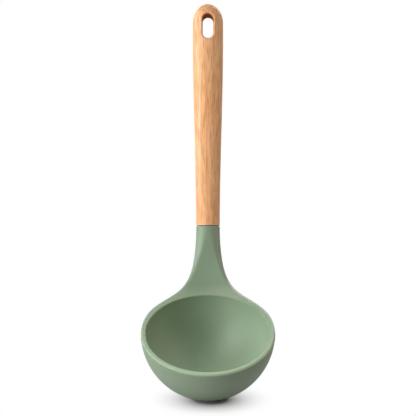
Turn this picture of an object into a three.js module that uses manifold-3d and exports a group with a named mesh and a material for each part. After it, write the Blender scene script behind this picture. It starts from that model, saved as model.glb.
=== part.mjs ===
// Soup ladle: a silicone bowl and neck moulded over a stiff core, on a wooden handle with a hanging slot.
// Millimetres and degrees. +Z is up, -Y faces the viewer, X runs across the ladle.

import * as THREE from 'three';
import { mergeGeometries, mergeVertices, toCreasedNormals } from 'three/addons/utils/BufferGeometryUtils.js';
import Module from 'manifold-3d';

const wasm = await Module();
wasm.setup();

// Stance of the ladle
const rimTilt = 23.5;            // rim plane above the floor, rising towards the handle
const neckBend = 51.2;           // handle direction above the rim plane

// Bowl
const bowlRadius = 47;           // widest outer radius, at the rim
const bowlDepth = 49.4;          // rim plane to the outside of the bottom
const bowlFullness = 1.92;       // 2 is an ellipse, less is slacker towards the bottom
const rimWall = 2.9;             // wall at the rim
const bottomWall = 4;            // wall at the bottom
const rimRound = 1.6;            // rounding of the outer rim edge
const rimInnerRound = 0.6;       // rounding of the inner rim edge

// Shoulder and neck, in the flat layout before the neck is bent
const shoulderPull = 48.8;       // how long the outline keeps the direction it has at the side of the rim
const neckPull = 69.7;           // how long the outline keeps the direction of the neck
const shoulderEnd = 100;         // distance behind the bowl axis where the neck reaches its width
const neckWidth = 17.7;
const neckThickness = 14.5;
const bendStart = 47.5;          // distance behind the bowl axis where the neck starts to rise
const bendRadius = 40;           // of the front of the neck
const neckStraight = 18.8;       // straight part between the bend and the handle
const gussetDepth = 18;          // thickness of the neck where it runs into the bowl
const gussetSwell = 1.2;         // how far its back swells towards the middle: 0.5 is an oval, 1 a parabola
const gussetFillet = 26;         // reach of the fillet between the bowl wall and the back of the neck
const lipThickness = 2.6;        // edge of the shoulder, below its outline
const lipRound = 3.5;            // rounding of that edge underneath
const neckEdgeRound = 0.8;       // rounding where the neck meets the handle

// Stiff core under the silicone
const skin = 0.7;                // silicone over the cup of the core
const neckSkin = 1.6;            // silicone over the spine of the core
const cupDrop = 3.2;             // solid silicone bead above the edge of the cup
const spineRootWidth = 34;       // spine where it leaves the cup
const spineOverlap = 3;          // how far the spine starts inside the bowl wall

// Rod, glue and fit
const clearance = 0.3;           // between pieces that touch
const rodRadius = 3;
const rodCoreLength = 20;
const rodHandleLength = 52;
const rodChamfer = 0.8;
const grooveDepth = 0.4;
const grooveWidth = 2;
const groovePitch = 8;
const glueWall = 0.6;

// Handle
const handleLength = 170.4;
const buttWidth = 23;
const buttThickness = 17.5;
const buttLength = 15.1;         // length of the rounded end
const widestSetback = 27;        // end of the handle to where it is widest
const handleEdgeRound = 0.7;     // rounding where the handle meets the neck
const slotWidth = 8.2;
const slotLength = 19;
const slotSetback = 9;           // end of the handle to the slot
const slotMouthRound = 1.5;

// Colours
const sageGreen = 0x7d9078;
const palePlastic = 0xd9d8cf;
const steelGrey = 0xb4b6b8;
const amberGlue = 0xc9b37c;
const beechTan = 0xd9a873;

// Facets
const bowlSegments = 64;
const wallSegments = 15;
const insideSegments = 12;
const neckSegments = 16;
const cupSegments = 32;
const cupWallSegments = 8;
const spineSegments = 20;
const spineRunSegments = 12;
const edgeSegments = 4;
const handleSegments = 32;
const shaftSegments = 14;
const buttSegments = 8;
const rodSegments = 16;
const slotEndSegments = 12;
const overshoot = 2;             // how far a cutter runs past the face that it opens

// Shape of the fillet and of ovals
const filletShare = 0.8;         // width of the fillet, as a share of how far it reaches past the bowl
const rowCrowding = 1.4;         // rows of facets move together towards the fillet
const ovalPower = 0.5;           // power of half an ellipse

// Worked out from the sizes above
const quarter = Math.PI / 2;
const bendAngle = THREE.MathUtils.degToRad(neckBend);
const bendEnd = bendStart + bendRadius * bendAngle;
const neckEnd = bendEnd + neckStraight;
const neckMiddle = neckThickness / 2;
const innerRadius = bowlRadius - rimWall;
const boreRadius = rodRadius + clearance + glueWall + clearance;
const boreDepth = rodHandleLength + clearance + glueWall + clearance;
const slotCentre = handleLength - slotSetback - slotLength / 2;

const { clamp, lerp, smoothstep } = THREE.MathUtils;

// Whole numbers from 0 to count, both ends included
function steps(count) {
  return Array.from({ length: count + 1 }, (unused, index) => index);
}

// Solid of a closed geometry, ready to be joined or cut
function solidOf(geometry) {
  const shell = geometry.clone();
  shell.deleteAttribute('normal');
  shell.deleteAttribute('uv');
  const merged = mergeVertices(shell, 1e-5);
  const corners = Array.from(merged.index.array);
  const faces = [];
  for (let first = 0; first < corners.length; first += 3) {
    const face = corners.slice(first, first + 3);
    if (new Set(face).size === 3) faces.push(...face);
  }
  return new wasm.Manifold(new wasm.Mesh({
    numProp: 3,
    vertProperties: new Float32Array(merged.attributes.position.array),
    triVerts: new Uint32Array(faces),
  }));
}

// Geometry of a joined or cut solid
function geometryOf(solid) {
  const mesh = solid.getMesh();
  const geometry = new THREE.BufferGeometry();
  geometry.setAttribute('position', new THREE.BufferAttribute(new Float32Array(mesh.vertProperties), 3));
  geometry.setIndex(new THREE.BufferAttribute(new Uint32Array(mesh.triVerts), 1));
  return toCreasedNormals(geometry, Math.PI / 6);
}

// Closed skin over a row of rings with equal point counts, with a fan to a tip point at either end
function loft(rings, startTip, endTip) {
  const columns = rings[0].map((unused, around) => [startTip, ...rings.map((ring) => ring[around]), endTip]);
  return patch([...columns, columns[0]]);
}

// Skin between neighbouring columns of points, seen from outside with columns to the right and points upwards
function patch(columns) {
  const height = columns[0].length;
  const faces = [];
  for (let first = 0; first + height < columns.length * height; first += height) {
    for (let low = first; low < first + height - 1; low += 1) {
      const right = low + height;
      faces.push(low, right, right + 1);
      faces.push(low, right + 1, low + 1);
    }
  }
  const geometry = new THREE.BufferGeometry().setFromPoints(columns.flat());
  geometry.setIndex(faces);
  return geometry;
}

// Revolved solid about +Z from a profile of [radius, height] pairs, bottom to top, both ends on the axis
function revolve(profile, around) {
  const outline = profile.map(([radius, height]) => new THREE.Vector2(radius, height));
  return new THREE.LatheGeometry(outline, around).rotateX(quarter);
}

// Where a test changes from true to false between two values, found by halving
function turningPoint(low, high, test) {
  let yes = low;
  let no = high;
  for (let halving = 0; halving < 40; halving += 1) {
    const middle = (yes + no) / 2;
    if (test(middle)) yes = middle;
    else no = middle;
  }
  return yes;
}

// Bowl wall from the middle of the bottom up to a depth below the rim, as [radius, depth] pairs.
// It is a superellipse, upright where the rim rounding starts.
function wallProfile(radius, top, bottom, stop, count) {
  const power = 2 / bowlFullness;
  const stopAngle = Math.acos(clamp((stop - top) / (bottom - top), 0, 1) ** (1 / power));
  return steps(count).map((step) => {
    const angle = step / count * stopAngle;
    return [radius * Math.sin(angle) ** power, top + (bottom - top) * Math.cos(angle) ** power];
  });
}

// Distance outside the bowl wall, measured about along a ray from the middle of the rim
function wallDistance(reach, depth) {
  const down = Math.max(depth - rimRound, 0) / (bowlDepth - rimRound);
  const level = ((reach / bowlRadius) ** bowlFullness + down ** bowlFullness) ** (1 / bowlFullness);
  return (level - 1) * bowlRadius;
}

// Smaller of two distances, with a fillet of a given width where they are alike
function softUnion(first, second, width) {
  if (width === 0) return Math.min(first, second);
  const mix = clamp((1 + (second - first) / width) / 2, 0, 1);
  return lerp(second, first, mix) - width * mix * (1 - mix);
}

// Inside of the bowl, running up past the rim, or that inside grown by an outset
function bowlInner(outset, along, around) {
  const radius = innerRadius + outset;
  const wall = wallProfile(radius, rimInnerRound, bowlDepth - bottomWall + outset, rimInnerRound, along);
  const edge = steps(edgeSegments).slice(1).map((step) => {
    const angle = step / edgeSegments * quarter;
    return [radius + rimInnerRound * (1 - Math.cos(angle)), rimInnerRound * (1 - Math.sin(angle))];
  });
  const profile = [...wall, ...edge, [radius + rimInnerRound, -overshoot], [0, -overshoot]];
  return revolve(profile.map(([reach, depth]) => [reach, -depth]), around);
}

// Outline of the shoulder seen square to the rim plane.
// x is its half width, y is rearwards from the bowl axis.
const shoulderOutline = new THREE.CubicBezierCurve(
  new THREE.Vector2(bowlRadius, 0),
  new THREE.Vector2(bowlRadius, shoulderPull),
  new THREE.Vector2(neckWidth / 2, shoulderEnd - neckPull),
  new THREE.Vector2(neckWidth / 2, shoulderEnd),
);

// Half width of the shoulder or neck and its slope, at a distance behind the bowl axis
function outlineAt(rearward) {
  const share = turningPoint(0, 1, (value) => shoulderOutline.getPoint(value).y < rearward);
  const tangent = shoulderOutline.getTangent(share);
  return { size: shoulderOutline.getPoint(share).x, slope: tangent.x / tangent.y };
}

// Section of the shoulder or neck. The front is flat, with rounded corners that widen to an oval.
// The back has a thin lip at either side and swells along the middle, and ends as an oval too.
// A share of 0 is the middle of the section and 1 is its side.
function neckSection(rearward, shrink) {
  const { size, slope } = outlineAt(rearward);
  const oval = smoothstep(rearward, bowlRadius, shoulderEnd);
  const half = size - shrink;
  const side = lerp(rimRound, neckMiddle, oval);
  const back = lerp(gussetDepth, neckThickness, oval) - shrink;
  const lip = lerp(lipThickness, 0, oval);
  const rounded = (share, corner) => {
    const fromEdge = clamp((1 - Math.abs(share)) * half / corner, 0, 1);
    return Math.sqrt(1 - (1 - fromEdge) ** 2);
  };
  return {
    half,
    frontDepth(share) {
      const corner = lerp(rimRound * Math.hypot(1, slope), half, oval);
      return side - (side - shrink) * rounded(share, corner);
    },
    backDepth(share) {
      const swell = Math.max(1 - share ** 2, 0) ** lerp(gussetSwell, ovalPower, oval);
      return side + lip * rounded(share, lerp(lipRound, half, oval)) + (back - side - lip) * swell;
    },
  };
}

// Bends the flat layout: level up to the bend, then round it, then straight towards the handle
function bend(across, rearward, depth) {
  const turn = clamp((rearward - bendStart) / bendRadius, 0, bendAngle);
  const before = Math.min(rearward, bendStart);
  const beyond = Math.max(rearward - bendEnd, 0);
  return new THREE.Vector3(
    across,
    before + (bendRadius + depth) * Math.sin(turn) + beyond * Math.cos(turn),
    bendRadius - (bendRadius + depth) * Math.cos(turn) + beyond * Math.sin(turn),
  );
}

// Places along the neck from a start near the bowl to its end, where the edge rounds over
function neckStations(start) {
  const run = steps(neckSegments).map((step) => ({
    rearward: lerp(start, neckEnd - neckEdgeRound, step / neckSegments),
    shrink: 0,
  }));
  const edge = steps(edgeSegments).slice(1).map((step) => {
    const angle = step / edgeSegments * quarter;
    return {
      rearward: neckEnd - neckEdgeRound * (1 - Math.sin(angle)),
      shrink: neckEdgeRound * (1 - Math.cos(angle)),
    };
  });
  return [...run, ...edge];
}

// Outside of the whole head, closed across the mouth of the bowl and at the end of the neck.
// Strips run up the bowl from the middle of its bottom, where a ray from the middle of the rim leaves the
// wall and the back of the shoulder, joined by a fillet. Those of the rear half go on along the back of the
// neck, over its end and down its front, and all strips close over the rim to the middle of the mouth.
function headOuter() {
  const wallColumns = [];
  const neckColumns = [];
  const capColumns = [];
  for (const step of steps(bowlSegments)) {
    const angle = step / bowlSegments * 2 * Math.PI;
    const sideways = Math.cos(angle);
    const rearwards = Math.sin(angle);
    const onSide = step % (bowlSegments / 2) === 0;
    const onShoulder = step < bowlSegments / 2 && !onSide;
    const flat = (reach, depth) => bend(reach * sideways, reach * rearwards, depth);

    // How far the shoulder stands out past the bowl, and where the fillet below it ends
    const within = (reach) => Math.abs(reach * sideways) < outlineAt(reach * rearwards).size;
    const overhang = onShoulder ? turningPoint(bowlRadius, neckEnd, within) - bowlRadius : 0;
    const skirt = gussetFillet * overhang / (gussetFillet + overhang);
    const far = bowlRadius + skirt;
    const farSection = neckSection(far * rearwards, 0);
    const share = onSide ? sideways : far * sideways / farSection.half;

    // Up the wall and round the fillet, or up to the rim rounding
    const outside = (reach, depth) => {
      const wall = wallDistance(reach, depth);
      if (!onShoulder) return wall;
      const section = neckSection(reach * rearwards, 0);
      const below = depth - section.backDepth(clamp(reach * sideways / section.half, -1, 1));
      return softUnion(wall, below, filletShare * skirt);
    };
    const lastSwing = Math.atan2(far, onShoulder ? farSection.backDepth(share) : rimRound);
    wallColumns.push(steps(wallSegments).map((row) => {
      const swing = lastSwing * (1 - (1 - row / wallSegments) ** rowCrowding);
      const inside = (ray) => outside(ray * Math.sin(swing), ray * Math.cos(swing)) < 0;
      const ray = turningPoint(0, neckEnd, inside);
      return flat(ray * Math.sin(swing), ray * Math.cos(swing));
    }));

    // Along the back of the neck to its end, and back along its front
    const strip = (depthOf) => neckStations(far * rearwards).map(({ rearward, shrink }) => {
      const section = neckSection(rearward, shrink);
      return bend(share * section.half, rearward, depthOf(section));
    });
    if (onShoulder || onSide) {
      const rear = strip((section) => section.backDepth(share));
      const front = onSide ? [...rear] : strip((section) => section.frontDepth(share));
      neckColumns.push([...rear, ...front.reverse()]);
    }

    // Over the rim to the middle of the mouth
    const rim = steps(edgeSegments).map((edgeStep) => {
      const edgeAngle = edgeStep / edgeSegments * quarter;
      const reach = lerp(bowlRadius - rimRound, far, Math.cos(edgeAngle));
      const section = neckSection(reach * rearwards, 0);
      const rolled = rimRound * (1 - Math.sin(edgeAngle));
      return flat(reach, onShoulder ? section.frontDepth(reach * sideways / section.half) : rolled);
    });
    capColumns.push([...rim, bend(0, 0, 0)]);
  }
  return mergeGeometries([wallColumns, neckColumns, capColumns].map(patch));
}

// Outside of the core cup, which stops below the rim
function cupOuter(inset, drop) {
  const wall = wallProfile(bowlRadius - inset, rimRound, bowlDepth - inset, drop, cupWallSegments);
  return revolve([...wall, [0, drop]].map(([reach, depth]) => [reach, -depth]), cupSegments);
}

// Spine of the core, from inside the bowl wall along the middle of the neck to a given end.
// Its sides and its back keep inside those of the neck.
function spineBody(inset, end) {
  const rings = steps(spineRunSegments).map((step) => {
    const rearward = lerp(innerRadius - spineOverlap, end, step / spineRunSegments);
    const section = neckSection(rearward, 0);
    const half = softUnion(spineRootWidth / 2, section.half, neckWidth / 2) - inset;
    return steps(spineSegments - 1).map((around) => {
      const angle = around / spineSegments * 2 * Math.PI;
      const across = half * Math.cos(angle);
      const back = section.backDepth(across / section.half) - inset;
      return bend(across, rearward, lerp(inset, back, (1 + Math.sin(angle)) / 2));
    });
  });
  return loft(rings, bend(0, innerRadius - spineOverlap, neckMiddle), bend(0, end, neckMiddle));
}

// Half width and half thickness of the handle at a height above the neck
function handleHalves(height) {
  const swell = smoothstep(height, 0, handleLength - widestSetback);
  return [lerp(neckWidth, buttWidth, swell) / 2, lerp(neckThickness, buttThickness, swell) / 2];
}

// Oval ring of the handle, drawn in by a margin or scaled down towards the butt
function handleRing(height, margin, scale) {
  const [halfWidth, halfThickness] = handleHalves(height);
  return steps(handleSegments - 1).map((step) => {
    const angle = step / handleSegments * 2 * Math.PI;
    return new THREE.Vector3(
      (halfWidth - margin) * scale * Math.cos(angle),
      (halfThickness - margin) * scale * Math.sin(angle),
      height,
    );
  });
}

// Handle without its slot and bore
function handleOuter() {
  const straightEnd = handleLength - buttLength;
  const foot = steps(edgeSegments).map((step) => {
    const angle = step / edgeSegments * quarter;
    const height = clearance + handleEdgeRound * (1 - Math.cos(angle));
    return handleRing(height, handleEdgeRound * (1 - Math.sin(angle)), 1);
  });
  const shaft = steps(shaftSegments).slice(1).map((step) =>
    handleRing(lerp(clearance + handleEdgeRound, straightEnd, step / shaftSegments), 0, 1));
  const butt = steps(buttSegments).slice(1, -1).map((step) => {
    const angle = step / buttSegments * quarter;
    return handleRing(straightEnd + buttLength * Math.sin(angle), 0, Math.cos(angle));
  });
  const rings = [...foot, ...shaft, ...butt];
  return loft(rings, new THREE.Vector3(0, 0, clearance), new THREE.Vector3(0, 0, handleLength));
}

// Outline of the hanging slot grown by a margin: two half circles joined by straight sides
function slotRing(margin, depthAt) {
  const radius = slotWidth / 2 + margin;
  const spread = (slotLength - slotWidth) / 2;
  return steps(2 * slotEndSegments + 1).map((step) => {
    const upper = step <= slotEndSegments;
    const angle = (upper ? step : step - 1) / slotEndSegments * Math.PI;
    const across = -radius * Math.cos(angle);
    const height = slotCentre + (upper ? spread : -spread) + radius * Math.sin(angle);
    return new THREE.Vector3(across, depthAt(across, height), height);
  });
}

// Cutter for the hanging slot, with a mouth that rounds over into the front and the back of the handle
function slotCutter() {
  const [halfWidth, halfThickness] = handleHalves(slotCentre);
  const face = (across) => halfThickness * Math.sqrt(1 - (across / halfWidth) ** 2);
  const mouth = steps(edgeSegments).map((step) => {
    const angle = step / edgeSegments * quarter;
    const sink = slotMouthRound * (1 - Math.sin(angle));
    return { margin: slotMouthRound * (1 - Math.cos(angle)), sink };
  });
  mouth.push({ margin: slotMouthRound, sink: -overshoot });
  const front = mouth.map(({ margin, sink }) => slotRing(margin, (across) => sink - face(across)));
  const rear = mouth.map(({ margin, sink }) => slotRing(margin, (across) => face(across) - sink));
  const rings = [...front.reverse(), ...rear];
  const reach = halfThickness + overshoot;
  return loft(rings, new THREE.Vector3(0, -reach, slotCentre), new THREE.Vector3(0, reach, slotCentre));
}

// Plain round bar about +Z between two heights
function bar(radius, bottom, top) {
  return revolve([[0, bottom], [radius, bottom], [radius, top], [0, top]], rodSegments);
}

// Steel rod with chamfered ends and a row of glue grooves on either side of the joint
function rodBody() {
  const grooves = [];
  for (let centre = groovePitch; centre + groovePitch < rodHandleLength; centre += groovePitch) {
    grooves.push(centre);
  }
  for (let centre = -groovePitch; centre - groovePitch > -rodCoreLength; centre -= groovePitch) {
    grooves.unshift(centre);
  }
  const waist = grooves.flatMap((centre) => [
    [rodRadius, centre - grooveWidth / 2],
    [rodRadius - grooveDepth, centre - grooveWidth / 2 + grooveDepth],
    [rodRadius - grooveDepth, centre + grooveWidth / 2 - grooveDepth],
    [rodRadius, centre + grooveWidth / 2],
  ]);
  return revolve([
    [0, -rodCoreLength],
    [rodRadius - rodChamfer, -rodCoreLength],
    [rodRadius, rodChamfer - rodCoreLength],
    ...waist,
    [rodRadius, rodHandleLength - rodChamfer],
    [rodRadius - rodChamfer, rodHandleLength],
    [0, rodHandleLength],
  ], rodSegments);
}

// Cured glue: a thin cup over the upper end of the rod
function glueBody() {
  const inside = rodRadius + clearance;
  const outside = inside + glueWall;
  const innerEnd = rodHandleLength + clearance;
  return revolve([
    [0, innerEnd],
    [inside, innerEnd],
    [inside, clearance],
    [outside, clearance],
    [outside, innerEnd + glueWall],
    [0, innerEnd + glueWall],
  ], rodSegments);
}

// A named piece with its own finish
function piece(name, geometry, color, roughness, metalness) {
  const mesh = new THREE.Mesh(geometry, new THREE.MeshStandardMaterial({ color, roughness, metalness }));
  mesh.name = name;
  return mesh;
}

// Frames: the rim plane tilted on the floor, and the handle standing on the end of the neck
const head = new THREE.Group();
head.name = 'head';
head.rotation.x = THREE.MathUtils.degToRad(rimTilt);
const grip = new THREE.Group();
grip.name = 'grip';
grip.position.copy(bend(0, neckEnd, neckMiddle));
grip.rotation.x = bendAngle - quarter;
grip.updateMatrix();
head.add(grip);

// Core: cup and spine under the silicone, with a socket for the rod
function coreSolid(margin, end) {
  const cup = solidOf(cupOuter(skin + margin, cupDrop + margin));
  const spine = solidOf(spineBody(neckSkin + margin, end));
  return cup.add(spine).subtract(solidOf(bowlInner(skin + margin, cupWallSegments, cupSegments)));
}
const socket = bar(rodRadius + clearance, -rodCoreLength - clearance, overshoot).applyMatrix4(grip.matrix);
const core = coreSolid(clearance, neckEnd).subtract(solidOf(socket));

// Silicone: the whole head less the inside of the bowl and the space that the core fills
const headBlank = solidOf(headOuter()).subtract(solidOf(bowlInner(0, insideSegments, bowlSegments)));
const silicone = headBlank.subtract(coreSolid(0, neckEnd + overshoot));

// Handle: oval stock less the slot and the bore for the rod and its glue
const bore = bar(boreRadius, -overshoot, boreDepth);
const handle = solidOf(handleOuter()).subtract(solidOf(slotCutter())).subtract(solidOf(bore));

head.add(piece('silicone_head', geometryOf(silicone), sageGreen, 0.5, 0));
head.add(piece('nylon_core', geometryOf(core), palePlastic, 0.6, 0));
grip.add(piece('steel_tang', rodBody(), steelGrey, 0.35, 1));
grip.add(piece('glue_sleeve', glueBody(), amberGlue, 0.3, 0));
grip.add(piece('wood_handle', geometryOf(handle), beechTan, 0.55, 0));

// The origin lies on the floor under the middle of the ladle
const ladle = new THREE.Group();
ladle.name = 'soup_ladle';
ladle.add(head);
const box = new THREE.Box3().setFromObject(ladle, true);
const middle = box.getCenter(new THREE.Vector3());
head.position.set(-middle.x, -middle.y, -box.min.z);
ladle.updateMatrixWorld(true);

export default ladle;
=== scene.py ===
"""Soup ladle: a sage silicone bowl and neck on a beech handle, standing in a white studio.

Shapes are worked out in millimetres and turned into metres when a mesh is made.
The flat layout of the head has x across, v rearwards from the bowl axis and depth below the rim plane.
Along the head, a start or an end is a value of v.
"""

import math

import bmesh
import bpy
import numpy as np
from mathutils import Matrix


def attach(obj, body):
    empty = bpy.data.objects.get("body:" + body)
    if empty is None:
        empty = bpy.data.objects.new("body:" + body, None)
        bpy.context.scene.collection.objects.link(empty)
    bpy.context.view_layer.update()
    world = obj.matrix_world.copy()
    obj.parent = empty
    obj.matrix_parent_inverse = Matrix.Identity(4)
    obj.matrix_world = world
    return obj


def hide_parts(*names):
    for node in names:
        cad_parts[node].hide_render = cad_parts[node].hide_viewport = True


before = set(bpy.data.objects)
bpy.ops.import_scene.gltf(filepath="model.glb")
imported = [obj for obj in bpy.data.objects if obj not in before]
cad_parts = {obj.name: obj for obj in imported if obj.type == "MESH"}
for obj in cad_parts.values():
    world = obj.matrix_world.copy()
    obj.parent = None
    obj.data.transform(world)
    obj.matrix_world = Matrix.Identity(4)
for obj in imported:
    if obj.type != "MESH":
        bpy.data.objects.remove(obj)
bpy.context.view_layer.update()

# Stance of the ladle
RIM_TILT = math.radians(23.5)
NECK_BEND = math.radians(51.2)
RIM_CENTRE = np.array([0.0, -42.9171, 48.7232])

# Bowl
BOWL_RADIUS = 46.99
BOWL_DEPTH = 49.38
BOWL_FULLNESS = 1.92
RIM_WALL = 3.4
BOTTOM_WALL = 4.0
RIM_ROUND = 1.6
RIM_INNER_ROUND = 0.8
RIM_REAR_ROUND = 0.6
BEAD_STEP = 0.15
BEAD_DEPTH = 3.0
BEAD_END = 3.9

# Shoulder and neck, with the pull of the outline curve at each of its ends
SHOULDER_PULL = 48.8
NECK_PULL = 69.7
SHOULDER_END = 100.0
NECK_WIDTH = 17.7
NECK_THICKNESS = 14.5
BEND_START = 47.5
BEND_RADIUS = 40.0
NECK_STRAIGHT = 18.8
GUSSET_DEPTH = 18.0
GUSSET_SWELL = 1.2
GUSSET_FILLET = 26.0
LIP_THICKNESS = 2.6
LIP_ROUND = 3.5
ROLL_WIDTH = 3.8
ROLL_START = 60.0
ROLL_END = 104.0
DISH = 1.0
DISH_END = 84.0
NECK_EDGE_ROUND = 0.8
NECK_SKIN = 1.6
SOCKET_SHOWN = 3.0

# Handle
CLEARANCE = 0.3
HANDLE_LENGTH = 170.3
BUTT_WIDTH = 23.0
BUTT_THICKNESS = 17.5
BUTT_LENGTH = 15.1
WIDEST_SETBACK = 27.0
HANDLE_EDGE_ROUND = 0.7
SLOT_WIDTH = 8.2
SLOT_LENGTH = 19.0
SLOT_SETBACK = 9.0
SLOT_MOUTH_ROUND = 1.5
SLOT_PANEL = 8.0
BORE_RADIUS = 4.2
BORE_DEPTH = 53.2
# Reach of the darker top of the butt: partly end grain, partly painted shade
END_GRAIN_AND_SHADE_REACH = 7.0
# Painted highlight: pale line along the rounded edge at the foot of the handle
FOOT_LINE = 0.9
FOOT_LINE_END = 1.3

# Fineness of the meshes
AROUND_BOWL = 320
UNDER_ROWS = 96
INSIDE_ROWS = 48
RIM_ROWS = 10
NECK_ROWS = 80
EDGE_ROWS = 6
ACROSS_HANDLE = 64
SHAFT_ROWS = 60
BUTT_COLUMNS = 56
SIDE_COLUMNS = 12
PANEL_ROWS = 26
WALL_ROWS = 8
MOUTH_ROWS = 8
BORE_ROWS = 10
OUTLINE_STEPS = 1600
HALVINGS = 48

# Settings of the surfaces
MILLIMETRE = 0.001
WELD = 1e-6
SLIVER = 1e-7
LEAST_FILLET = 1e-6
ROW_CROWDING = 2.0
FILLET_SHARE = 0.8
OVAL_POWER = 0.5

# Studio: metres, apart from the lens in millimetres, and strengths where 1 is white
FLOOR_SPAN = 3.0
# Grey of the matt floor; round the foot of the bowl it shows as the painted shadow disc
FLOOR_GREY = 0.34
FLOOR_MIRRORED = 0.35
SHADOW_MIDDLE = (0.002, -0.043, 0.0)
SHADOW_CORE = 0.011
SHADOW_END = 0.046
ROOM_FILL = 0.13
ROOM_MIRRORED = 0.18
BACKDROP_START = 0.4
BACKDROP_FULL = 0.85
LIGHT_AIM = (0.0, 0.0, 0.1)
WHITE_LIGHT = (1.0, 1.0, 1.0)
PALE_LIGHT = (0.97, 0.99, 1.0)
COOL_LIGHT = (0.94, 0.97, 1.0)
WARM_LIGHT = (1.0, 0.88, 0.7)
CAMERA_PLACE = (0.0, -0.94705, 0.2795)
CAMERA_TILT = math.radians(81.0)
LENS_LENGTH = 115.1
SENSOR_WIDTH = 36.0

# Worked out from the sizes above
BEND_END = BEND_START + BEND_RADIUS * NECK_BEND
NECK_END = BEND_END + NECK_STRAIGHT
NECK_MIDDLE = NECK_THICKNESS / 2
INNER_RADIUS = BOWL_RADIUS - RIM_WALL
RAY_LIMIT = 4 * BOWL_RADIUS
STRAIGHT_END = HANDLE_LENGTH - BUTT_LENGTH
SLOT_CENTRE = HANDLE_LENGTH - SLOT_SETBACK - SLOT_LENGTH / 2
SLOT_SPREAD = (SLOT_LENGTH - SLOT_WIDTH) / 2
PANEL_FOOT = SLOT_CENTRE - SLOT_LENGTH / 2 - SLOT_MOUTH_ROUND - SLOT_PANEL
HANDLE_LEAN = math.pi / 2 - RIM_TILT - NECK_BEND


def lerp(low, high, share):
    """Straight mix of two values."""
    return low + (high - low) * share


def smoothstep(value, low, high):
    """S-curve from 0 at the low value to 1 at the high one, level at both ends."""
    share = np.clip((value - low) / (high - low), 0.0, 1.0)
    return share * share * (3.0 - 2.0 * share)


def halving(low, high, inside):
    """Where a test turns from true to false between two arrays of bounds, found by halving the interval."""
    for _ in range(HALVINGS):
        middle = (low + high) / 2
        held = inside(middle)
        low = np.where(held, middle, low)
        high = np.where(held, high, middle)
    return low


def tip(points, angle):
    """Points turned about the X axis by an angle."""
    x, y, z = np.moveaxis(points, -1, 0)
    turned = (x, y * np.cos(angle) - z * np.sin(angle), y * np.sin(angle) + z * np.cos(angle))
    return np.stack(turned, axis=-1)


# Outline of the shoulder seen square to the rim plane: a cubic curve from the side of the rim to the neck
outline_share = np.linspace(0.0, 1.0, OUTLINE_STEPS)
outline_weights = np.stack([
    (1 - outline_share) ** 3,
    3 * outline_share * (1 - outline_share) ** 2,
    3 * outline_share ** 2 * (1 - outline_share),
    outline_share ** 3,
])
OUTLINE_HALF = np.array([BOWL_RADIUS, BOWL_RADIUS, NECK_WIDTH / 2, NECK_WIDTH / 2]) @ outline_weights
OUTLINE_BACK = np.array([0.0, SHOULDER_PULL, SHOULDER_END - NECK_PULL, SHOULDER_END]) @ outline_weights
OUTLINE_SLOPE = np.gradient(OUTLINE_HALF, OUTLINE_BACK)


def half_width(v):
    """Half width of the shoulder or neck, read off the outline curve."""
    return np.interp(v, OUTLINE_BACK, OUTLINE_HALF)


def edge_depth(v):
    """Depth of the outline itself: the rim rounding at the bowl, half the thickness at the neck."""
    return lerp(RIM_ROUND, NECK_MIDDLE, smoothstep(v, BOWL_RADIUS, SHOULDER_END))


def rounded(share, half, corner):
    """Quarter ellipse that rises from 0 at the edge to 1 one corner width inside it."""
    from_edge = np.clip((1 - np.abs(share)) * half / corner, 0.0, 1.0)
    return np.sqrt(1 - (1 - from_edge) ** 2)


def front_depth(share, v, shrink=0.0):
    """Front face: slightly dished, with narrow rolled edges that widen into the oval of the neck."""
    half = half_width(v) - shrink
    slope = np.interp(v, OUTLINE_BACK, OUTLINE_SLOPE, right=0.0)
    edge = lerp(RIM_ROUND, ROLL_WIDTH, smoothstep(v, 0.0, ROLL_START)) * np.hypot(1.0, slope)
    corner = lerp(edge, half, smoothstep(v, ROLL_START, ROLL_END) ** 2)
    side = edge_depth(v)
    dish = DISH * smoothstep(v, BOWL_RADIUS, ROLL_START) * (1 - smoothstep(v, ROLL_START, DISH_END))
    return side - (side - shrink) * rounded(share, half, corner) + dish * np.clip(1 - share ** 2, 0.0, 1.0)


def back_depth(share, v, shrink=0.0):
    """Back face: a thin rounded lip at the edges, plus a middle swell that becomes the oval neck."""
    oval = smoothstep(v, BOWL_RADIUS, SHOULDER_END)
    half = half_width(v) - shrink
    side = edge_depth(v)
    lip = lerp(LIP_THICKNESS, 0.0, oval)
    back = lerp(GUSSET_DEPTH, NECK_THICKNESS, oval) - shrink
    swell = np.clip(1 - np.abs(share) ** 2, 0.0, 1.0) ** lerp(GUSSET_SWELL, OVAL_POWER, oval)
    return side + lip * rounded(share, half, lerp(LIP_ROUND, half, oval)) + (back - side - lip) * swell


def bend_neck(x, v, depth):
    """Rolls the flat layout up: level to the bend, round the bend, then straight towards the handle."""
    turn = np.clip((v - BEND_START) / BEND_RADIUS, 0.0, NECK_BEND)
    before = np.minimum(v, BEND_START)
    beyond = np.maximum(v - BEND_END, 0.0)
    y = before + (BEND_RADIUS + depth) * np.sin(turn) + beyond * np.cos(turn)
    z = BEND_RADIUS - (BEND_RADIUS + depth) * np.cos(turn) + beyond * np.sin(turn)
    return np.stack(np.broadcast_arrays(x, y, z), axis=-1)


def wall_distance(reach, depth):
    """Distance outside the bowl's outer superellipse, measured about along a ray from the rim centre.

    Below the bead of the rim the wall steps in a little, and the step fades towards the bottom.
    """
    down = np.maximum(depth - RIM_ROUND, 0.0) / (BOWL_DEPTH - RIM_ROUND)
    level = ((reach / BOWL_RADIUS) ** BOWL_FULLNESS + down ** BOWL_FULLNESS) ** (1 / BOWL_FULLNESS)
    step = smoothstep(depth, BEAD_DEPTH, BEAD_END) * (1 - smoothstep(depth, BEAD_END, BOWL_DEPTH))
    return (level - 1) * BOWL_RADIUS + BEAD_STEP * step


def soft_union(first, second, width):
    """Smaller of two distances, with a fillet of a given width where they are alike."""
    mix = np.clip(0.5 + 0.5 * (second - first) / width, 0.0, 1.0)
    return second * (1 - mix) + first * mix - width * mix * (1 - mix)


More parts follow.
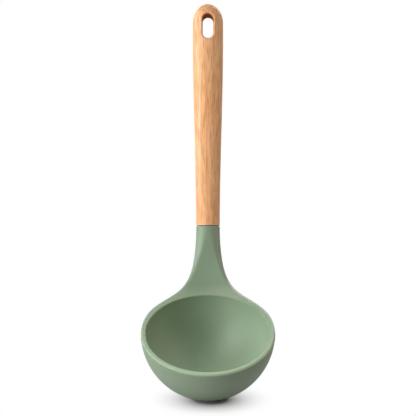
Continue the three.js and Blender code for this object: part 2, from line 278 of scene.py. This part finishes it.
def silicone_surfaces():
    """Grids of the silicone head, as strips round the bowl axis.

    Underneath, a ray from the rim centre swings from straight down to the shoulder, and stops where the
    bowl wall and the back of the shoulder, joined by a fillet, are left. The rear strips go on along the
    neck at a constant share of its width, on the back and on the front, and end in the sleeve's open mouth.
    """
    turn = np.linspace(0.0, 2 * np.pi, AROUND_BOWL + 1)
    sideways, rearwards = np.cos(turn), np.sin(turn)
    rear = np.arange(AROUND_BOWL + 1) <= AROUND_BOWL // 2

    # How far the shoulder stands out past the bowl, and where the fillet ends
    start = np.full(turn.shape, BOWL_RADIUS)
    within = halving(start, np.full(turn.shape, NECK_END),
                     lambda reach: np.abs(reach * sideways) < half_width(reach * rearwards))
    overhang = np.where(rear, within - BOWL_RADIUS, 0.0)
    skirt = GUSSET_FILLET * overhang / (GUSSET_FILLET + overhang)
    far = BOWL_RADIUS + skirt
    far_v = np.where(rear, far * rearwards, 0.0)
    share = np.clip(np.where(rear, far * sideways / half_width(far_v), 1.0), -1.0, 1.0)

    # Underneath, from the middle of the bottom to the end of the fillet
    far_depth = np.where(rear, back_depth(share, far_v), RIM_ROUND)
    row = np.linspace(0.0, 1.0, UNDER_ROWS + 1)[:, None]
    swing = np.arctan2(far, far_depth) * (1 - (1 - row) ** ROW_CROWDING)

    def under(ray):
        """Whether the end of each ray is still inside the bowl wall, the shoulder or the fillet."""
        reach, depth = ray * np.sin(swing), ray * np.cos(swing)
        v = np.maximum(reach * rearwards, 0.0)
        ray_share = np.clip(reach * sideways / half_width(v), -1.0, 1.0)
        shoulder = np.where(rear, depth - back_depth(ray_share, v), BOWL_DEPTH)
        fillet = np.maximum(FILLET_SHARE * skirt, LEAST_FILLET)
        return soft_union(wall_distance(reach, depth), shoulder, fillet) < 0

    ray = halving(np.zeros(swing.shape), np.full(swing.shape, RAY_LIMIT), under)
    reach = ray * np.sin(swing)
    underside = bend_neck(reach * sideways, reach * rearwards, ray * np.cos(swing))

    # Inside of the bowl, a slightly smaller superellipse that rounds over into the rim
    climb = np.linspace(0.0, np.pi / 2, INSIDE_ROWS + 1)[:, None]
    inner_bottom = BOWL_DEPTH - BOTTOM_WALL
    inner_round = lerp(RIM_INNER_ROUND, RIM_REAR_ROUND, smoothstep(rearwards, 0.0, 1.0))
    inner_reach = INNER_RADIUS * np.sin(climb) ** (2 / BOWL_FULLNESS) + np.zeros(turn.size)
    inner_depth = lerp(inner_round, inner_bottom, np.clip(np.cos(climb), 0, 1) ** (2 / BOWL_FULLNESS))
    over = np.linspace(0.0, np.pi / 2, EDGE_ROWS + 1)[:, None]
    inner_reach = np.vstack([inner_reach, INNER_RADIUS + inner_round * (1 - np.cos(over[1:]))])
    inner_depth = np.vstack([inner_depth, inner_round * (1 - np.sin(over[1:]))])
    inside = bend_neck(inner_reach * sideways, inner_reach * rearwards, inner_depth)

    # Top of the rim, and the front of the shoulder as far as the fillet reaches underneath
    drop = np.linspace(0.0, np.pi / 2, RIM_ROWS + 1)[:, None]
    edge_start = BOWL_RADIUS - RIM_ROUND
    rim_reach = np.vstack([
        INNER_RADIUS + inner_round,
        lerp(edge_start, far, np.sin(drop)),
    ])
    rim_v = np.maximum(rim_reach * rearwards, 0.0)
    rim_share = np.clip(rim_reach * sideways / half_width(rim_v), -1.0, 1.0)
    rolled = RIM_ROUND * (1 - np.sqrt(np.clip(1 - ((rim_reach - edge_start) / RIM_ROUND) ** 2, 0.0, 1.0)))
    rolled = np.where(rim_reach < edge_start, 0.0, rolled)
    rim_depth = np.where(rear, front_depth(rim_share, rim_v), rolled)
    rim = bend_neck(rim_reach * sideways, rim_reach * rearwards, rim_depth)

    # Along the neck, over its rounded end and into the mouth of the sleeve
    run = np.linspace(0.0, 1.0, NECK_ROWS + 1)[:, None]
    sleeve_v = np.vstack([
        lerp(far_v[rear], NECK_END - NECK_EDGE_ROUND, run),
        np.broadcast_to(NECK_END - NECK_EDGE_ROUND * (1 - np.sin(over[1:])), (EDGE_ROWS, rear.sum())),
        np.full((1, rear.sum()), NECK_END),
        np.full((1, rear.sum()), NECK_END - SOCKET_SHOWN),
    ])
    shrink = np.vstack([
        np.zeros((NECK_ROWS + 1, 1)),
        NECK_EDGE_ROUND * (1 - np.cos(over[1:])),
        [[NECK_SKIN], [NECK_SKIN]],
    ])
    sleeve_x = share[rear] * (half_width(sleeve_v) - shrink)
    middle = bend_neck(np.zeros((1, rear.sum())), NECK_END - SOCKET_SHOWN, NECK_MIDDLE)
    back = bend_neck(sleeve_x, sleeve_v, back_depth(share[rear], sleeve_v, shrink))
    front = bend_neck(sleeve_x, sleeve_v, front_depth(share[rear], sleeve_v, shrink))
    return [underside, inside, rim, np.vstack([back, middle]), np.vstack([front, middle])]


def stand_head(points):
    """From the rim's own frame to the floor: tipped by the rim's tilt and lifted to the rim centre."""
    return tip(points, RIM_TILT) + RIM_CENTRE


def stand_handle(points):
    """From the handle's own frame, which starts at the neck, to the floor."""
    foot = bend_neck(np.array(0.0), np.array(NECK_END), np.array(NECK_MIDDLE))
    return stand_head(tip(points, NECK_BEND - np.pi / 2) + foot)


def handle_halves(height):
    """Half width and half thickness of the handle, swelling in an S-curve from the neck to the butt."""
    swell = smoothstep(height, 0.0, HANDLE_LENGTH - WIDEST_SETBACK)
    return lerp(NECK_WIDTH, BUTT_WIDTH, swell) / 2, lerp(NECK_THICKNESS, BUTT_THICKNESS, swell) / 2


def handle_face(x, height):
    """How far the front of the handle stands off its middle plane: an oval, closed by half an ellipsoid."""
    half, thick = handle_halves(height)
    cap = np.maximum(height - STRAIGHT_END, 0.0) / BUTT_LENGTH
    return thick * np.sqrt(np.clip(1 - (x / half) ** 2 - cap ** 2, 0.0, 1.0))


def handle_front():
    """Grids of the front half of the handle, from its middle plane outwards.

    The shaft is a row of half ovals that starts in the bore, runs over the end face and its rounded edge
    and climbs to the foot of the slot panel. The panel's columns are rays from the straight middle line of
    the slot to the outline of the butt. Its rows climb the slot wall, round the mouth and cross the face.
    """
    angle = np.linspace(np.pi, 0.0, ACROSS_HANDLE + 1)
    across, forward = np.cos(angle), -np.sin(angle)

    # Bore, end face, rounded edge and shaft
    climb = np.linspace(0.0, 1.0, SHAFT_ROWS + 1)
    edge = np.linspace(0.0, np.pi / 2, EDGE_ROWS + 1)
    bore_height = np.linspace(BORE_DEPTH, CLEARANCE, BORE_ROWS + 1)
    edge_height = CLEARANCE + HANDLE_EDGE_ROUND * (1 - np.cos(edge))
    shaft_height = lerp(CLEARANCE + HANDLE_EDGE_ROUND, PANEL_FOOT, climb[1:])
    height = np.concatenate([[BORE_DEPTH], bore_height, edge_height, shaft_height])
    half, thick = handle_halves(height)
    end_face = 1 + bore_height.size
    margin = np.zeros(height.size)
    margin[end_face:end_face + edge.size] = HANDLE_EDGE_ROUND * (1 - np.sin(edge))
    half, thick = half - margin, thick - margin
    half[:end_face] = thick[:end_face] = BORE_RADIUS
    half[0] = thick[0] = 0.0
    shaft = np.stack(np.broadcast_arrays(
        half[:, None] * across, thick[:, None] * forward, height[:, None]), axis=-1)

    # Outline of the slot panel: along its foot, up one side, round the butt and down the other side
    foot_half = handle_halves(PANEL_FOOT)[0]
    side_height = np.linspace(PANEL_FOOT, STRAIGHT_END, SIDE_COLUMNS + 1)[1:-1]
    butt = np.linspace(0.0, np.pi, BUTT_COLUMNS + 1)
    butt_half = handle_halves(STRAIGHT_END)[0]
    outer_x = np.concatenate([
        foot_half * across,
        handle_halves(side_height)[0],
        butt_half * np.cos(butt),
        -handle_halves(side_height[::-1])[0],
        [-foot_half],
    ])
    outer_height = np.concatenate([
        np.full(across.size, PANEL_FOOT),
        side_height,
        STRAIGHT_END + BUTT_LENGTH * np.sin(butt),
        side_height[::-1],
        [PANEL_FOOT],
    ])
    spine = np.clip(outer_height, SLOT_CENTRE - SLOT_SPREAD, SLOT_CENTRE + SLOT_SPREAD)
    length = np.hypot(outer_x, outer_height - spine)
    ray_x, ray_height = outer_x / length, (outer_height - spine) / length

    # Rows of the panel: up the slot wall, round the mouth, then over the face to the outline
    mouth = np.linspace(0.0, np.pi / 2, MOUTH_ROWS + 1)[:, None]
    sweep = np.sin(np.linspace(0.0, np.pi / 2, PANEL_ROWS + 1))[1:, None]
    wall_reach = np.full((WALL_ROWS, outer_x.size), SLOT_WIDTH / 2)
    mouth_reach = SLOT_WIDTH / 2 + SLOT_MOUTH_ROUND * (1 - np.cos(mouth)) + np.zeros(outer_x.size)
    face_reach = lerp(SLOT_WIDTH / 2 + SLOT_MOUTH_ROUND, length, sweep)
    panel_reach = np.vstack([wall_reach, mouth_reach, face_reach])
    panel_x = panel_reach * ray_x
    panel_height = spine + panel_reach * ray_height
    sink = np.vstack([
        np.full((WALL_ROWS, 1), SLOT_MOUTH_ROUND),
        SLOT_MOUTH_ROUND * (1 - np.sin(mouth)),
        np.zeros((PANEL_ROWS, 1)),
    ])
    stand_off = handle_face(panel_x, panel_height) - sink
    stand_off[:WALL_ROWS] *= np.linspace(0.0, 1.0, WALL_ROWS + 1)[:WALL_ROWS, None]
    panel = np.stack([panel_x, -stand_off, panel_height], axis=-1)
    return [shaft, panel]


def handle_surfaces():
    """Grids of the whole handle: its front half and the same half mirrored to the back."""
    front = handle_front()
    return front + [grid * np.array([1.0, -1.0, 1.0]) for grid in front]


def grid_faces(rows, columns, first):
    """Corner numbers of the quads between neighbouring points of a grid, counted from a first number."""
    corner = first + np.arange(rows * columns).reshape(rows, columns)
    quads = [corner[:-1, :-1], corner[:-1, 1:], corner[1:, 1:], corner[1:, :-1]]
    return np.stack(quads, axis=-1).reshape(-1, 4)


def make_piece(name, grids, node, material):
    """One closed mesh from grids of points that share their borders, in place of a node of the frame."""
    points = np.concatenate([grid.reshape(-1, 3) for grid in grids]) * MILLIMETRE
    starts = np.cumsum([0] + [grid.shape[0] * grid.shape[1] for grid in grids])
    faces = np.concatenate([
        grid_faces(grid.shape[0], grid.shape[1], start) for grid, start in zip(grids, starts)])
    mesh = bpy.data.meshes.new(name)
    mesh.from_pydata(points, [], faces.tolist())
    shell = bmesh.new()
    shell.from_mesh(mesh)
    bmesh.ops.remove_doubles(shell, verts=shell.verts, dist=WELD)
    bmesh.ops.dissolve_degenerate(shell, edges=shell.edges, dist=SLIVER)
    bmesh.ops.recalc_face_normals(shell, faces=shell.faces)
    shell.to_mesh(mesh)
    shell.free()
    mesh.shade_smooth()
    mesh.materials.append(material)
    piece = bpy.data.objects.new(name, mesh)
    bpy.context.scene.collection.objects.link(piece)
    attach(piece, "root")
    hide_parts(node)


def linear(red, green, blue):
    """Linear colour from the usual 0 to 255 values."""
    values = np.array([red, green, blue]) / 255
    bright = ((values + 0.055) / 1.055) ** 2.4
    return (*np.where(values <= 0.04045, values / 12.92, bright).tolist(), 1.0)


# Colours of the silicone and the beech
SAGE = linear(124, 142, 117)
PALE_SAGE = linear(129, 147, 121)
BROWN_BAND = linear(218, 147, 90)
TAN_BAND = linear(236, 175, 120)
STRAW_BAND = linear(240, 181, 131)
PALE_BAND = linear(243, 192, 149)
FLECK_BROWN = linear(188, 112, 58)
PORE_BROWN = linear(140, 80, 38)
# Slot wall: partly end grain, partly painted shade in the recess
SLOT_GRAIN_AND_SHADE = linear(176, 98, 36)
# Top of the butt: partly end grain, partly painted shade
END_GRAIN_AND_SHADE_BROWN = linear(186, 124, 74)
# Painted highlight along the rounded edge at the foot of the handle
EDGE_HIGHLIGHT_TINT = linear(246, 214, 180)

# Colours of the hidden pieces
NYLON = linear(206, 205, 196)
PALE_NYLON = linear(222, 221, 214)
STEEL = linear(176, 178, 180)
PALE_STEEL = linear(190, 192, 194)
GLUE = linear(190, 168, 112)
PALE_GLUE = linear(208, 186, 132)


def soft_clouds():
    """Shared effect: clouds of a given fineness in the piece's own coordinates, between 0 and 1."""
    group = bpy.data.node_groups.new("soft_clouds", "ShaderNodeTree")
    group.interface.new_socket("Fineness", in_out="INPUT", socket_type="NodeSocketFloat")
    group.interface.new_socket("Cloud", in_out="OUTPUT", socket_type="NodeSocketFloat")
    inlet = group.nodes.new("NodeGroupInput")
    outlet = group.nodes.new("NodeGroupOutput")
    place = group.nodes.new("ShaderNodeTexCoord")
    noise = group.nodes.new("ShaderNodeTexNoise")
    noise.inputs["Detail"].default_value = 4.0
    group.links.new(place.outputs["Object"], noise.inputs["Vector"])
    group.links.new(inlet.outputs["Fineness"], noise.inputs["Scale"])
    group.links.new(noise.outputs["Fac"], outlet.inputs["Cloud"])
    return group


SOFT_CLOUDS = soft_clouds()


class Finish:
    """A material, or the room's light, under construction: short calls that add, set and link nodes."""

    def __init__(self, owner):
        owner.use_nodes = True
        self.owner = owner
        self.nodes = owner.node_tree.nodes
        self.links = owner.node_tree.links

    def feed(self, socket, value):
        """Links another node's output to a socket, or sets the socket to a plain value."""
        if isinstance(value, bpy.types.NodeSocket):
            self.links.new(value, socket)
        else:
            socket.default_value = value

    def add(self, kind, sockets=None, **settings):
        """A node of a kind, with settings, and sockets that are plain values or other nodes' outputs."""
        node = self.nodes.new(kind)
        for key, value in settings.items():
            setattr(node, key, value)
        for key, value in (sockets or {}).items():
            self.feed(node.inputs[key], value)
        return node

    def set(self, **sockets):
        """Sockets of the Principled shader, by their names with underscores for spaces."""
        shader = self.nodes["Principled BSDF"]
        for key, value in sockets.items():
            self.feed(shader.inputs[key.replace("_", " ")], value)

    def clouds(self, fineness):
        """Soft clouds between 0 and 1."""
        return self.add("ShaderNodeGroup", {"Fineness": fineness}, node_tree=SOFT_CLOUDS).outputs["Cloud"]

    def ramp(self, factor, stops):
        """Colour that runs through a list of (place, colour) stops as a factor goes from 0 to 1."""
        node = self.add("ShaderNodeValToRGB", {"Fac": factor})
        band = node.color_ramp
        while len(band.elements) < len(stops):
            band.elements.new(0.5)
        for element, (place, colour) in zip(band.elements, stops):
            element.position = place
            element.color = colour
        return node.outputs["Color"]

    def scale(self, value, low, high, to_low, to_high):
        """Value carried from one range to another and held inside it."""
        sockets = {"Value": value, "From Min": low, "From Max": high, "To Min": to_low, "To Max": to_high}
        return self.add("ShaderNodeMapRange", sockets).outputs["Result"]

    def maths(self, operation, first, second):
        """Plain arithmetic on two values."""
        return self.add("ShaderNodeMath", {0: first, 1: second}, operation=operation).outputs[0]

    def tint(self, factor, first, second):
        """Mix of two colours, all the first at a factor of 0 and all the second at 1."""
        sockets = {"Factor": factor, 6: first, 7: second}
        return self.add("ShaderNodeMix", sockets, data_type="RGBA").outputs[2]

    def bump(self, height, strength, distance):
        """Shading normal from a height."""
        sockets = {"Height": height, "Strength": strength, "Distance": distance}
        return self.add("ShaderNodeBump", sockets).outputs["Normal"]


def silicone_finish():
    """Satin sage silicone: an even colour with faint clouding, and a skin whose sheen varies a little."""
    finish = Finish(bpy.data.materials.new("satin_silicone"))
    cloud = finish.clouds(fineness=45.0)
    skin = finish.clouds(fineness=900.0)
    finish.set(
        Base_Color=finish.ramp(cloud, [(0.3, SAGE), (0.7, PALE_SAGE)]),
        Roughness=finish.scale(cloud, low=0.3, high=0.7, to_low=0.45, to_high=0.49),
        Normal=finish.bump(skin, strength=0.05, distance=0.0002),
        Specular_IOR_Level=0.8,
    )
    return finish.owner


def beech_finish():
    """Oiled beech: straight growth bands along the handle, finer streaks, short flecks and pores.

    The wall of the hanging slot, where the grain is cut across, is rough and darker: partly end grain,
    partly painted shade in the recess. The top of the butt is darker, partly end grain and partly painted
    shade that tones down its lit top, and a painted highlight lies as a pale line along the rounded edge
    at the foot of the handle.
    """
    finish = Finish(bpy.data.materials.new("oiled_beech"))
    foot = tip(stand_handle(np.zeros(3)), HANDLE_LEAN) * MILLIMETRE
    sockets = {
        "Vector": finish.add("ShaderNodeTexCoord").outputs["Object"],
        "Location": tuple(-foot),
        "Rotation": (HANDLE_LEAN, 0.0, 0.0),
    }
    along = finish.add("ShaderNodeMapping", sockets).outputs["Vector"]

    def grain(across, lengthwise, detail, warp):
        """Noise stretched along the handle, so that its spots become streaks."""
        stretch = finish.add("ShaderNodeMapping", {"Vector": along, "Scale": (across, across, lengthwise)})
        sockets = {"Vector": stretch.outputs["Vector"], "Scale": 1.0, "Detail": detail, "Distortion": warp}
        return finish.add("ShaderNodeTexNoise", sockets).outputs["Fac"]

    bands = grain(across=230.0, lengthwise=9.0, detail=3.0, warp=0.9)
    streaks = grain(across=700.0, lengthwise=50.0, detail=6.0, warp=0.4)
    flecks = grain(across=1400.0, lengthwise=80.0, detail=3.0, warp=0.4)
    pores = grain(across=4200.0, lengthwise=260.0, detail=1.0, warp=0.0)
    band_share = finish.maths("MULTIPLY", bands, 0.4)
    streak_share = finish.maths("MULTIPLY", streaks, 0.6)
    colour = finish.ramp(finish.maths("ADD", band_share, streak_share), [
        (0.36, BROWN_BAND),
        (0.46, TAN_BAND),
        (0.54, STRAW_BAND),
        (0.64, PALE_BAND),
    ])
    fleck = finish.scale(flecks, low=0.52, high=0.6, to_low=0.0, to_high=0.5)
    colour = finish.tint(fleck, colour, FLECK_BROWN)
    pore = finish.scale(pores, low=0.62, high=0.75, to_low=0.0, to_high=0.3)
    colour = finish.tint(pore, colour, PORE_BROWN)

    # Distance from the straight middle line of the slot
    place = finish.add("ShaderNodeSeparateXYZ", {"Vector": along}).outputs
    rise = finish.maths("SUBTRACT", place["Z"], SLOT_CENTRE * MILLIMETRE)
    past = finish.maths("SUBTRACT", finish.maths("ABSOLUTE", rise, 0.0), SLOT_SPREAD * MILLIMETRE)
    past = finish.maths("MAXIMUM", past, 0.0)
    past = finish.maths("MULTIPLY", past, past)
    aside = finish.maths("MULTIPLY", place["X"], place["X"])
    reach = finish.maths("SQRT", finish.maths("ADD", aside, past), 0.0)
    wall = SLOT_WIDTH / 2 * MILLIMETRE
    mouth = wall + SLOT_MOUTH_ROUND / 2 * MILLIMETRE

    # Rough wall of the slot, darker: partly end grain cut across, partly painted shade in the recess
    slot_grain_and_shade = finish.scale(reach, wall, mouth, to_low=0.85, to_high=0.0)
    colour = finish.tint(slot_grain_and_shade, colour, SLOT_GRAIN_AND_SHADE)
    rough = finish.scale(reach, wall, mouth, to_low=1.0, to_high=0.0)
    sanded = finish.scale(streaks, low=0.3, high=0.7, to_low=0.44, to_high=0.56)

    # Darker top of the butt: partly end grain, partly painted shade that tones down its lit top
    top = HANDLE_LENGTH * MILLIMETRE
    end_grain_and_shade = finish.scale(place["Z"], top - END_GRAIN_AND_SHADE_REACH * MILLIMETRE, top, to_low=0.0, to_high=0.15)
    colour = finish.tint(end_grain_and_shade, colour, END_GRAIN_AND_SHADE_BROWN)

    # Painted highlight: a pale line along the rounded edge at the foot of the handle
    line, line_end = FOOT_LINE * MILLIMETRE, FOOT_LINE_END * MILLIMETRE
    pale = finish.scale(place["Z"], line, line_end, to_low=0.6, to_high=0.0)
    finish.set(
        Base_Color=finish.tint(pale, colour, EDGE_HIGHLIGHT_TINT),
        Roughness=finish.maths("MAXIMUM", sanded, rough),
        Normal=finish.bump(finish.maths("SUBTRACT", streaks, pore), strength=0.15, distance=0.0003),
        Specular_IOR_Level=0.55,
    )
    return finish.owner


def plain_finish(name, low, high, roughness, metallic=0.0):
    """Finish of a hidden piece: a colour with faint clouding."""
    finish = Finish(bpy.data.materials.new(name))
    cloud = finish.clouds(fineness=300.0)
    finish.set(
        Base_Color=finish.ramp(cloud, [(0.35, low), (0.65, high)]),
        Roughness=finish.scale(cloud, low=0.3, high=0.7, to_low=roughness, to_high=roughness + 0.1),
        Metallic=metallic,
    )
    return finish.owner


def dress_node(node, material):
    """Gives a node of the frame its finish."""
    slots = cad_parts[node].data.materials
    slots.clear()
    slots.append(material)


# The ladle
head = [stand_head(grid) for grid in silicone_surfaces()]
make_piece("ladle_head", head, "silicone_head", silicone_finish())
handle = [stand_handle(grid) for grid in handle_surfaces()]
make_piece("ladle_handle", handle, "wood_handle", beech_finish())
dress_node("nylon_core", plain_finish("pale_nylon", NYLON, PALE_NYLON, roughness=0.55))
dress_node("steel_tang", plain_finish("turned_steel", STEEL, PALE_STEEL, roughness=0.3, metallic=1.0))
dress_node("glue_sleeve", plain_finish("cured_glue", GLUE, PALE_GLUE, roughness=0.25))


def studio_floor():
    """White floor with a painted shadow: round the foot of the bowl it is a grey matt disc, which also
    keeps the ladle's real shadow, and further out it is plain white.

    The white fades in with the distance from the foot of the bowl, and reflections see it dimmer.
    """
    mesh = bpy.data.meshes.new("studio_floor")
    corners = np.array([[-1, -1, 0], [1, -1, 0], [1, 1, 0], [-1, 1, 0]]) * FLOOR_SPAN
    mesh.from_pydata(corners, [], [(0, 1, 2, 3)])
    floor = bpy.data.objects.new("studio_floor", mesh)
    bpy.context.scene.collection.objects.link(floor)
    finish = Finish(bpy.data.materials.new("studio_floor"))
    sockets = {0: finish.add("ShaderNodeTexCoord").outputs["Object"], 1: SHADOW_MIDDLE}
    distance = finish.add("ShaderNodeVectorMath", sockets, operation="DISTANCE").outputs["Value"]
    # Painted shadow: the grey matt disc round the foot of the bowl, fading out to plain white
    near = finish.scale(distance, SHADOW_CORE, SHADOW_END, to_low=1.0, to_high=0.0)
    away = finish.maths("SUBTRACT", 1.0, finish.maths("MULTIPLY", near, near))
    light = finish.add("ShaderNodeLightPath").outputs
    mirrored = finish.maths("MULTIPLY", light["Is Glossy Ray"], FLOOR_MIRRORED)
    seen = finish.maths("MAXIMUM", light["Is Camera Ray"], mirrored)
    seen = finish.maths("MAXIMUM", seen, light["Is Transmission Ray"])
    white = finish.add("ShaderNodeEmission", {"Color": (*WHITE_LIGHT, 1.0), "Strength": 1.0})
    matt = finish.add("ShaderNodeBsdfDiffuse", {"Color": (FLOOR_GREY, FLOOR_GREY, FLOOR_GREY, 1.0)})
    sockets = {0: finish.maths("MULTIPLY", away, seen), 1: matt.outputs[0], 2: white.outputs[0]}
    shown = finish.add("ShaderNodeMixShader", sockets)
    finish.nodes.remove(finish.nodes["Principled BSDF"])
    finish.feed(finish.nodes["Material Output"].inputs["Surface"], shown.outputs[0])
    mesh.materials.append(finish.owner)


def hang(lamp, place, aim, mirrored):
    """Puts a lamp at a place, turned towards a point, and says whether reflections show it."""
    holder = bpy.data.objects.new(lamp.name, lamp)
    bpy.context.scene.collection.objects.link(holder)
    across, along, up = np.array(aim) - np.array(place)
    holder.location = place
    holder.rotation_euler = (math.atan2(math.hypot(across, along), -up), 0.0, math.atan2(-across, along))
    holder.visible_glossy = mirrored


def softbox(name, place, size, power, colour=WHITE_LIGHT, mirrored=True):
    """Square soft light, turned towards the ladle."""
    lamp = bpy.data.lights.new(name, "AREA")
    lamp.size = size
    lamp.energy = power
    lamp.color = colour
    hang(lamp, place, LIGHT_AIM, mirrored)


def spotlight(name, place, aim, cone, power, radius):
    """Narrow round light with a soft edge, which reflections don't show."""
    lamp = bpy.data.lights.new(name, "SPOT")
    lamp.spot_size = math.radians(cone)
    lamp.spot_blend = 1.0
    lamp.shadow_soft_size = radius
    lamp.energy = power
    hang(lamp, place, aim, mirrored=False)


def studio_world():
    """Studio surroundings for three kinds of ray.

    The camera sees full white, and so do reflections and refractions of the backdrop, which fades in
    with the rearward part of a ray's direction. Those of the rest of the room see a dim grey, and every
    other ray a weak fill.
    """
    room = Finish(bpy.data.worlds.new("studio_world"))
    light = room.add("ShaderNodeLightPath").outputs
    towards = room.add("ShaderNodeTexCoord").outputs["Generated"]
    rearwards = room.add("ShaderNodeSeparateXYZ", {"Vector": towards}).outputs["Y"]
    backdrop = room.scale(rearwards, BACKDROP_START, BACKDROP_FULL, to_low=ROOM_MIRRORED, to_high=1.0)
    mirrored = room.maths("MAXIMUM", light["Is Glossy Ray"], light["Is Transmission Ray"])
    mirrored = room.maths("MULTIPLY", mirrored, backdrop)
    shown = room.maths("MAXIMUM", light["Is Camera Ray"], mirrored)
    background = room.nodes["Background"]
    room.feed(background.inputs["Color"], (*WHITE_LIGHT, 1.0))
    room.feed(background.inputs["Strength"], room.maths("MAXIMUM", shown, ROOM_FILL))
    bpy.context.scene.world = room.owner


def studio_camera():
    """Camera a little above the ladle, looking down at it slightly through a long lens."""
    lens = bpy.data.cameras.new("studio_camera")
    lens.lens = LENS_LENGTH
    lens.sensor_width = SENSOR_WIDTH
    camera = bpy.data.objects.new("studio_camera", lens)
    camera.location = CAMERA_PLACE
    camera.rotation_euler = (CAMERA_TILT, 0.0, 0.0)
    bpy.context.scene.collection.objects.link(camera)
    bpy.context.scene.camera = camera


# The studio
studio_floor()
studio_world()
softbox("key_left", (-1.15, -0.58, 0.30), size=0.9, power=19.0, colour=COOL_LIGHT, mirrored=False)
spotlight("bowl_top", (-0.08, -0.60, 1.21), aim=(0.0, -0.062, 0.02), cone=7.2, power=54.0, radius=0.03)
spotlight("bowl_side", (-0.85, -0.45, 1.00), aim=(0.004, -0.05, 0.03), cone=6.6, power=18.0, radius=0.12)
softbox("key_front", (-0.98, -0.89, 0.40), size=0.7, power=5.6)
softbox("front_top", (-0.60, -0.86, 1.00), size=0.7, power=1.8)
softbox("back", (0.42, 0.92, 0.93), size=0.6, power=6.0)
softbox("left_edge", (-1.13, 0.30, 0.78), size=0.5, power=4.0, colour=PALE_LIGHT)
softbox("right_fill", (1.23, -0.04, 0.65), size=0.8, power=5.8, colour=WARM_LIGHT)
studio_camera()
bpy.context.scene.view_settings.view_transform = "Standard"
